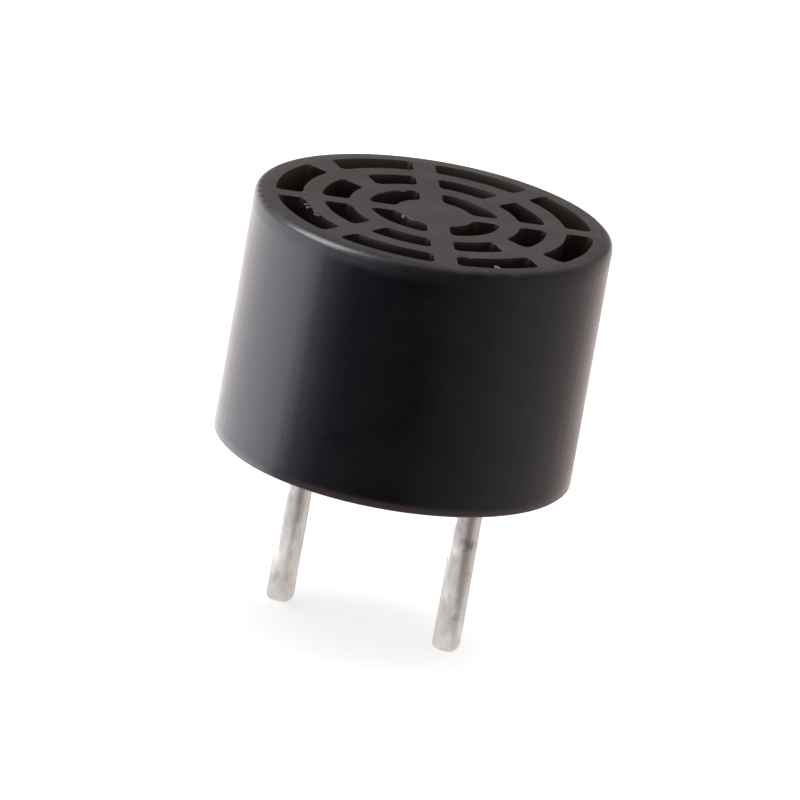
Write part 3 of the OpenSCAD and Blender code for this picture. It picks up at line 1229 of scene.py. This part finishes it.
@dataclass
class BackEnd:
    """The base that closes the case, its seal, the two pins, and the marks on the base's back."""

    pins: tuple[str, ...] = ("pin_signal", "pin_ground")
    coat: TinCoat = field(default_factory=TinCoat)
    fillet_reach: float = 0.50 * MM
    fillet_depth: float = 0.10 * MM
    fillet_inset: float = 0.97
    fillet_power: float = 2.4
    fillet_corner: float = 0.8
    root_inset: float = 0.95
    root_depth: float = 0.05 * MM
    root_floor: float = 0.06 * MM
    fillet_shares: tuple[float, ...] = (0.0, 0.15, 0.32, 0.5, 0.7, 0.88, 1.0)
    sink: float = 0.03 * MM
    ejector_turns: tuple[float, ...] = (60.0, 300.0, 120.0, 240.0)
    ejector_place: float = 3.1 * MM
    ejector_radius: float = 0.42 * MM
    ejector_sink: float = 0.02 * MM
    ejector_profile: Profile = ((0.0, -0.004), (-0.02, 1.0), (-0.05, 1.0), (-0.07, 0.1))
    ring_height: float = 0.018 * MM
    gate_radius: float = 0.30 * MM
    gate_height: float = 0.09 * MM
    gate_profile: Profile = ((1.0, -0.1), (0.96, 0.5), (0.86, 0.92), (0.6, 1.0), (0.25, 0.78))
    dot_place: Vector = field(default_factory=lambda: Vector((3.55, 0.95, 0.0)) * MM)
    dot_radius: float = 0.20 * MM
    dot_height: float = 0.063 * MM
    dot_profile: Profile = ((1.0, -0.1), (0.97, 0.55), (0.8, 0.95), (0.4, 1.1))

    def _fillet(self, pin: Piece, back: float) -> Piece:
        """Makes the resin that has crept up round a pin.

        Args:
            pin: The pin.
            back: The height of the base's back face.

        Returns:
            The new piece.
        """
        low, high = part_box(pin.name)
        centre = (low + high) / 2
        half = self.coat.face_reach * self.fillet_inset
        shape = bmesh.new()
        rings = []
        for share in self.fillet_shares:
            ring = []
            for point in round_ring(centre, 1.0, centre.z):
                way = point - centre
                square = half / max(abs(way.x), abs(way.y), self.fillet_corner)
                reach = square + (self.fillet_reach - square) * share
                creep = self.fillet_depth * (1.0 - share) ** self.fillet_power
                ring.append(Vector((centre.x, centre.y, back + self.sink - creep)) + way * reach)
            rings.append(ring)
        rings.append(round_ring(centre, self.fillet_reach * self.root_inset, back + self.root_depth))
        rings.append(round_ring(centre, half * self.fillet_corner, back + self.root_floor))
        add_rings(shape, rings)
        return piece_from("resin_" + pin.name, shape)

    def _marks(self, back: float) -> Piece:
        """Makes the ejector pins' witness rings, the gate's stub and the dot by the ground pin.

        Args:
            back: The height of the base's back face.

        Returns:
            The new piece.
        """
        shape = bmesh.new()
        for turn in self.ejector_turns:
            bearing = math.radians(turn)
            centre = Vector((math.cos(bearing), math.sin(bearing), 0.0)) * self.ejector_place
            rings = [round_ring(centre, self.ejector_radius, back + self.ejector_sink)]
            for inset, rise in self.ejector_profile:
                radius = self.ejector_radius + inset * MM
                rings.append(round_ring(centre, radius, back - rise * self.ring_height))
            add_rings(shape, rings)
        for place, radius, height, profile in (
            (Vector((0.0, 0.0, 0.0)), self.gate_radius, self.gate_height, self.gate_profile),
            (self.dot_place, self.dot_radius, self.dot_height, self.dot_profile),
        ):
            add_rings(shape, [round_ring(place, radius * r, back - h * height) for r, h in profile])
        return piece_from("base_marks", shape)

    def build(self, wardrobe: Wardrobe) -> None:
        """Dresses the base, the seal and the pins, and adds the resin and the marks.

        Args:
            wardrobe: The materials.
        """
        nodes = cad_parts
        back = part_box("base")[0].z
        wardrobe.dress(nodes["base"], Slot.BASE)
        wardrobe.dress(nodes["rim_seal"], Slot.RESIN)
        wardrobe.fit(self._marks(back), Slot.BASE)
        for name in self.pins:
            wardrobe.dress(nodes[name], Slot.PIN)
            wardrobe.fit(self.coat.build(nodes[name], back + self.sink), Slot.PIN)
            wardrobe.fit(self._fillet(nodes[name], back), Slot.RESIN)
            log.info("%s dressed, with its tin coat and resin", name)
        log.info("base and seal dressed, marks added")


@dataclass
class Vibrator:
    """The disc, plate and cone inside, and what joins them."""

    finishes: dict[str, Slot] = field(
        default_factory=lambda: {
            "support_bead": Slot.RUBBER,
            "metal_plate": Slot.PLATE,
            "plate_bond": Slot.GLUE,
            "piezo_disc": Slot.CERAMIC,
            "resonator_cone": Slot.CONE,
            "cone_bond": Slot.GLUE,
        }
    )

    def build(self, wardrobe: Wardrobe) -> None:
        """Dresses each part of the vibrator.

        Args:
            wardrobe: The materials.
        """
        for name, slot in self.finishes.items():
            wardrobe.dress(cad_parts[name], slot)
            log.info("%s dressed", name)


@dataclass
class Wiring:
    """The two leads and their four solder joints."""

    leads: tuple[str, ...] = ("lead_signal", "lead_ground")
    joints: tuple[str, ...] = ("solder_pin_signal", "solder_pin_ground", "solder_disc", "solder_plate")

    def build(self, wardrobe: Wardrobe) -> None:
        """Dresses the leads and joints.

        Args:
            wardrobe: The materials.
        """
        for name in self.leads:
            wardrobe.dress(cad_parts[name], Slot.WIRE)
        for name in self.joints:
            wardrobe.dress(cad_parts[name], Slot.SOLDER)
        log.info("leads and joints dressed")


# ---- The studio ----


@dataclass
class CameraStand:
    """Where the camera stands: nearly level with the case, a long way off, and rolled."""

    azimuth: float = 20.3
    elevation: float = 17.93
    roll: float = 10.06
    distance: float = 0.5
    frame_width: float = 22.065 * MM
    sensor_mm: float = 36.0
    aim_height: float = 3.55 * MM
    aim_right: float = -0.370 * MM
    aim_up: float = -1.820 * MM
    clip: tuple[float, float] = (0.01, 5.0)

    def build(self) -> None:
        """Makes the camera and makes it the scene's own."""
        turn, tilt, roll = (math.radians(a) for a in (self.azimuth, self.elevation, self.roll))
        right = Vector((math.cos(turn), math.sin(turn), 0.0))
        back = Vector((math.sin(turn) * math.cos(tilt), -math.cos(turn) * math.cos(tilt), math.sin(tilt)))
        up = back.cross(right)
        rolled_right = right * math.cos(roll) + up * math.sin(roll)
        rolled_up = up * math.cos(roll) - right * math.sin(roll)
        aim = Vector((0.0, 0.0, self.aim_height)) + rolled_right * self.aim_right + rolled_up * self.aim_up
        lens = bpy.data.cameras.new("camera")
        lens.sensor_width = self.sensor_mm
        lens.lens = self.sensor_mm * self.distance / self.frame_width
        lens.clip_start, lens.clip_end = self.clip
        camera = bpy.data.objects.new("camera", lens)
        bpy.context.scene.collection.objects.link(camera)
        axes = Matrix((rolled_right, rolled_up, back)).transposed().to_4x4()
        camera.matrix_world = Matrix.Translation(aim + back * self.distance) @ axes
        bpy.context.scene.camera = camera
        log.info("camera placed, lens %.0f mm", lens.lens)


@dataclass(frozen=True)
class Glow:
    """One level of the room's brightness, in a direction seen from the part."""

    bearing: float
    level: float
    tint: Colour = WHITE


@dataclass(frozen=True)
class SoftBox:
    """A square lamp: where it hangs as the camera sees the part, its side, power and colour."""

    name: str
    left: float
    front: float
    up: float
    size: float
    watts: float
    colour: Colour
    matt: bool


@dataclass
class Studio:
    """A pale floor in a white room, with soft light from the left and a dim room in front."""

    facing: float = 20.3
    floor_height: float = -5.0 * MM
    floor_size: float = 1.2
    paper: Colour = (0.68, 0.68, 0.68)
    fill: float = 1.02
    foot_light: Colour = (0.78, 0.77, 0.75)
    steep_light: Colour = (0.86, 0.60, 0.57)
    foot_reach: float = 3.5 * MM
    foot_fade: float = 8.5 * MM
    near_reach: float = 10.5 * MM
    near_fade: float = 13.5 * MM
    overhead: float = 0.60
    overhead_rise: tuple[float, float] = (0.28, 0.55)
    upper_full: float = 0.22
    steep_fall: tuple[float, float] = (-0.47, -0.64)
    horizon_blur: float = 0.02
    lift: float = 0.54
    bright_rise: tuple[float, float] = (1.4, 2.2)
    bright_reach: tuple[float, float] = (6.0 * MM, 8.5 * MM)
    headroom: float = 1.1
    boxes: tuple[SoftBox, ...] = (
        SoftBox("left soft box", 0.16, 0.02, 0.14, size=0.14, watts=0.50, colour=(0.98, 0.99, 1.0), matt=False),
        SoftBox("top soft box", 0.0, -0.06, 0.26, size=0.2, watts=0.35, colour=(1.0, 0.99, 0.98), matt=True),
    )
    glows: tuple[Glow, ...] = (
        Glow(-180.0, 1.40, (1.0, 0.97, 0.96)),
        Glow(-165.0, 2.30, (1.04, 0.98, 0.96)),
        Glow(-150.0, 2.10, (1.05, 0.96, 0.95)),
        Glow(-135.0, 2.05, (1.02, 0.98, 0.98)),
        Glow(-115.0, 2.30, (1.0, 0.98, 1.03)),
        Glow(-95.0, 2.75, (0.98, 0.97, 1.08)),
        Glow(-76.0, 2.75, (0.98, 0.97, 1.08)),
        Glow(-60.0, 0.55, (0.90, 0.98, 1.14)),
        Glow(-40.0, 0.08, (0.86, 0.98, 1.2)),
        Glow(0.0, 0.02, (0.9, 1.0, 1.3)),
        Glow(35.0, 0.20, (1.0, 0.97, 0.99)),
        Glow(70.0, 0.46, (1.04, 0.97, 0.97)),
        Glow(115.0, 0.62, (1.1, 0.95, 0.92)),
        Glow(140.0, 1.00, (1.12, 0.93, 0.90)),
        Glow(160.0, 1.45, (1.06, 0.96, 0.95)),
        Glow(180.0, 1.40, (1.0, 0.97, 0.96)),
    )
    low_glows: tuple[Glow, ...] = (
        Glow(-180.0, 0.85),
        Glow(-120.0, 0.85),
        Glow(-75.0, 0.85),
        Glow(-58.0, 1.00),
        Glow(-52.0, 1.45),
        Glow(-45.0, 1.55),
        Glow(-39.5, 0.95),
        Glow(-33.0, 0.66, (1.02, 1.0, 0.98)),
        Glow(-24.0, 0.38, (1.06, 0.98, 0.95)),
        Glow(-12.0, 0.22, (1.10, 0.96, 0.92)),
        Glow(60.0, 0.22, (1.10, 0.96, 0.92)),
        Glow(110.0, 0.44, (1.04, 0.98, 0.96)),
        Glow(139.0, 0.66, (1.02, 0.99, 0.97)),
        Glow(180.0, 0.85),
    )
    high_glows: tuple[Glow, ...] = (
        Glow(-180.0, 0.50, (1.0, 0.97, 0.96)),
        Glow(-165.0, 1.05, (1.04, 0.98, 0.96)),
        Glow(-135.0, 1.00, (1.02, 0.98, 0.98)),
        Glow(-95.0, 1.40, (0.98, 0.97, 1.08)),
        Glow(-76.0, 1.85, (0.98, 0.97, 1.08)),
        Glow(-60.0, 2.05, (0.95, 0.98, 1.10)),
        Glow(-45.0, 1.70, (0.94, 0.98, 1.12)),
        Glow(-30.0, 0.85, (0.94, 0.98, 1.12)),
        Glow(-12.0, 0.28),
        Glow(30.0, 0.18),
        Glow(70.0, 0.40, (1.04, 0.97, 0.97)),
        Glow(115.0, 0.56, (1.1, 0.95, 0.92)),
        Glow(140.0, 0.74, (1.12, 0.93, 0.90)),
        Glow(160.0, 0.62, (1.06, 0.96, 0.95)),
        Glow(180.0, 0.50, (1.0, 0.97, 0.96)),
    )

    def _room(self, name: str, glows: tuple[Glow, ...]) -> Tree:
        """Makes a group that gives the Light in a Direction.

        Args:
            name: The group's name.
            glows: The levels round the part, in order of bearing.

        Returns:
            The node group.
        """
        tree = bpy.data.node_groups.new(name, "ShaderNodeTree")
        tree.interface.new_socket("Direction", in_out="INPUT", socket_type="NodeSocketVector")
        tree.interface.new_socket("Light", in_out="OUTPUT", socket_type="NodeSocketColor")
        graph = Graph(tree)
        taken, given = graph.node("NodeGroupInput"), graph.node("NodeGroupOutput")
        x, y, _ = graph.parts(taken.outputs["Direction"])
        turn = math.radians(self.facing)
        ahead = graph.total((x, math.sin(turn)), (y, -math.cos(turn)))
        right = graph.total((x, math.cos(turn)), (y, math.sin(turn)))
        ramp = graph.node("ValToRGB")
        ramp.color_ramp.interpolation = "EASE"
        peak = max(glow.level for glow in glows) * self.headroom
        stops = ramp.color_ramp.elements
        while len(stops) < len(glows):
            stops.new(0.5)
        for stop, glow in zip(stops, glows):
            stop.position = glow.bearing / 360.0 + 0.5
        for stop, glow in zip(stops, glows):
            stop.color = (*(min(1.0, glow.level * c / peak) for c in glow.tint), 1.0)
        bearing = graph.math("ARCTAN2", right, ahead)
        graph.feed(ramp.inputs[0], graph.total((bearing, 1 / math.tau), (1.0, 0.5)))
        graph.feed(given.inputs["Light"], graph.scaled(ramp.outputs[0], peak))
        return tree

    def _sky(self, room: Tree, high: Tree, under: Tree) -> None:
        """Makes the world: white to the camera, the room to gloss, and an even fill for the rest.

        Args:
            room: The group that gives the room's light along the floor.
            high: The group that gives its light higher up.
            under: The group that gives what gloss sees down through the floor.
        """
        world = bpy.data.worlds.new("white room")
        world.use_nodes = True
        world.node_tree.nodes.clear()
        graph = Graph(world.node_tree)
        direction = graph.node("TexCoord").outputs["Generated"]
        height = graph.parts(direction)[2]
        along, upper, below = (
            graph.effect(group, Direction=direction)["Light"] for group in (room, high, under)
        )
        above = graph.tint(graph.step(height, 0.0, self.upper_full), along, upper)
        above = graph.scaled(above, graph.mix(graph.step(height, *self.overhead_rise), 1.0, self.overhead))
        below = graph.tint(graph.step(height, *self.steep_fall), below, self.steep_light)
        gloss = graph.tint(graph.step(height, 0.0, -self.horizon_blur), above, below)
        rays = graph.node("LightPath").outputs
        seen = graph.tint(rays["Is Glossy Ray"], (self.fill,) * 3, gloss)
        for kind in ("Is Camera Ray", "Is Transmission Ray"):
            seen = graph.tint(rays[kind], seen, WHITE)
        shader = graph.node("Background")
        graph.feed(shader.inputs["Color"], seen)
        graph.feed(graph.node("OutputWorld").inputs["Surface"], shader.outputs[0])
        bpy.context.scene.world = world

    def _paper(self, room: Tree, shelf: EffectShelf) -> bpy.types.Material:
        """Makes the floor's material: paper to the eye, and the room to gloss.

        Args:
            room: The group that gives the room's light.
            shelf: Where the shared effects are kept.

        Returns:
            The new material.
        """
        paper = bpy.data.materials.new("paper")
        paper.use_nodes = True
        paper.cycles.emission_sampling = "NONE"
        paper.node_tree.nodes.clear()
        graph = Graph(paper.node_tree)
        place = graph.node("TexCoord").outputs["Object"]
        reach = graph.effect(shelf.radius(), Position=place)["Radius"]
        around = graph.effect(room, Direction=place)["Light"]
        level = graph.node("RGBToBW")
        graph.feed(level.inputs[0], around)
        bright = graph.step(level.outputs[0], *self.bright_rise)
        bright = graph.times(bright, graph.step(reach, *self.bright_reach))
        near = graph.times(graph.step(reach, self.near_fade, self.near_reach), graph.rest(bright))
        rays = graph.node("LightPath").outputs
        matt = graph.node("BsdfDiffuse")
        graph.feed(matt.inputs["Color"], self.paper)
        lit = graph.node("AddShader")
        graph.feed(lit.inputs[0], matt.outputs[0])
        graph.feed(lit.inputs[1], graph.emission(WHITE, self.lift))
        shown = graph.blend(rays["Is Camera Ray"], matt.outputs[0], lit.outputs[0])
        clear = graph.node("BsdfTransparent").outputs[0]
        foot = graph.step(reach, self.foot_fade, self.foot_reach)
        window = graph.blend(foot, clear, graph.emission(self.foot_light))
        seen = graph.blend(near, graph.emission(around), window)
        shiny = graph.math("MAXIMUM", rays["Is Glossy Ray"], rays["Is Transmission Ray"])
        mirrored = graph.blend(shiny, shown, seen)
        behind = graph.times(rays["Is Camera Ray"], graph.node("NewGeometry").outputs["Backfacing"])
        surface = graph.node("OutputMaterial").inputs["Surface"]
        graph.feed(surface, graph.blend(behind, mirrored, clear))
        return paper

    def _floor(self, paper: bpy.types.Material) -> None:
        """Makes the floor: pale paper that keeps a faint shadow, clear from underneath.

        Args:
            paper: The floor's material.
        """
        mesh = bpy.data.meshes.new("floor")
        half = self.floor_size / 2
        corners = [(-half, -half), (half, -half), (half, half), (-half, half)]
        mesh.from_pydata([(x, y, self.floor_height) for x, y in corners], [], [(0, 1, 2, 3)])
        mesh.materials.append(paper)
        floor = bpy.data.objects.new("floor", mesh)
        bpy.context.scene.collection.objects.link(floor)

    def _lamp(self, box: SoftBox) -> None:
        """Hangs a soft box that points at the part.

        Args:
            box: The soft box.
        """
        turn = math.radians(self.facing)
        front = Vector((math.sin(turn), -math.cos(turn), 0.0))
        left = Vector((-math.cos(turn), -math.sin(turn), 0.0))
        place = left * box.left + front * box.front + Vector((0.0, 0.0, box.up))
        data = bpy.data.lights.new(box.name, "AREA")
        data.shape = "SQUARE"
        data.size = box.size
        data.energy = box.watts
        data.color = box.colour
        lamp = bpy.data.objects.new(box.name, data)
        lamp.location = place
        lamp.rotation_euler = (-place).to_track_quat("-Z", "Y").to_euler()
        lamp.visible_camera = False
        lamp.visible_diffuse = box.matt
        lamp.visible_glossy = not box.matt
        bpy.context.scene.collection.objects.link(lamp)

    def build(self, shelf: EffectShelf) -> None:
        """Sets up the floor, the room and the lamps.

        Args:
            shelf: Where the shared effects are kept.
        """
        bpy.context.scene.view_settings.view_transform = "Standard"
        room = self._room("room", self.glows)
        high = self._room("higher up", self.high_glows)
        self._sky(room, high, self._room("under the floor", self.low_glows))
        self._floor(self._paper(room, shelf))
        for box in self.boxes:
            self._lamp(box)
        log.info("studio set up")


# ---- The whole scene ----


def main() -> None:
    """Builds the studio and each sub-assembly in order."""
    logging.basicConfig(level=logging.INFO, format="%(name)s: %(message)s")
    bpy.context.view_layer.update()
    CameraStand().build()
    shelf = EffectShelf()
    Studio().build(shelf)
    wardrobe = Wardrobe(FINISHES, shelf)
    for assembly in (Housing(), BackEnd(), Vibrator(), Wiring()):
        assembly.build(wardrobe)


if __name__ == "__main__":
    main()
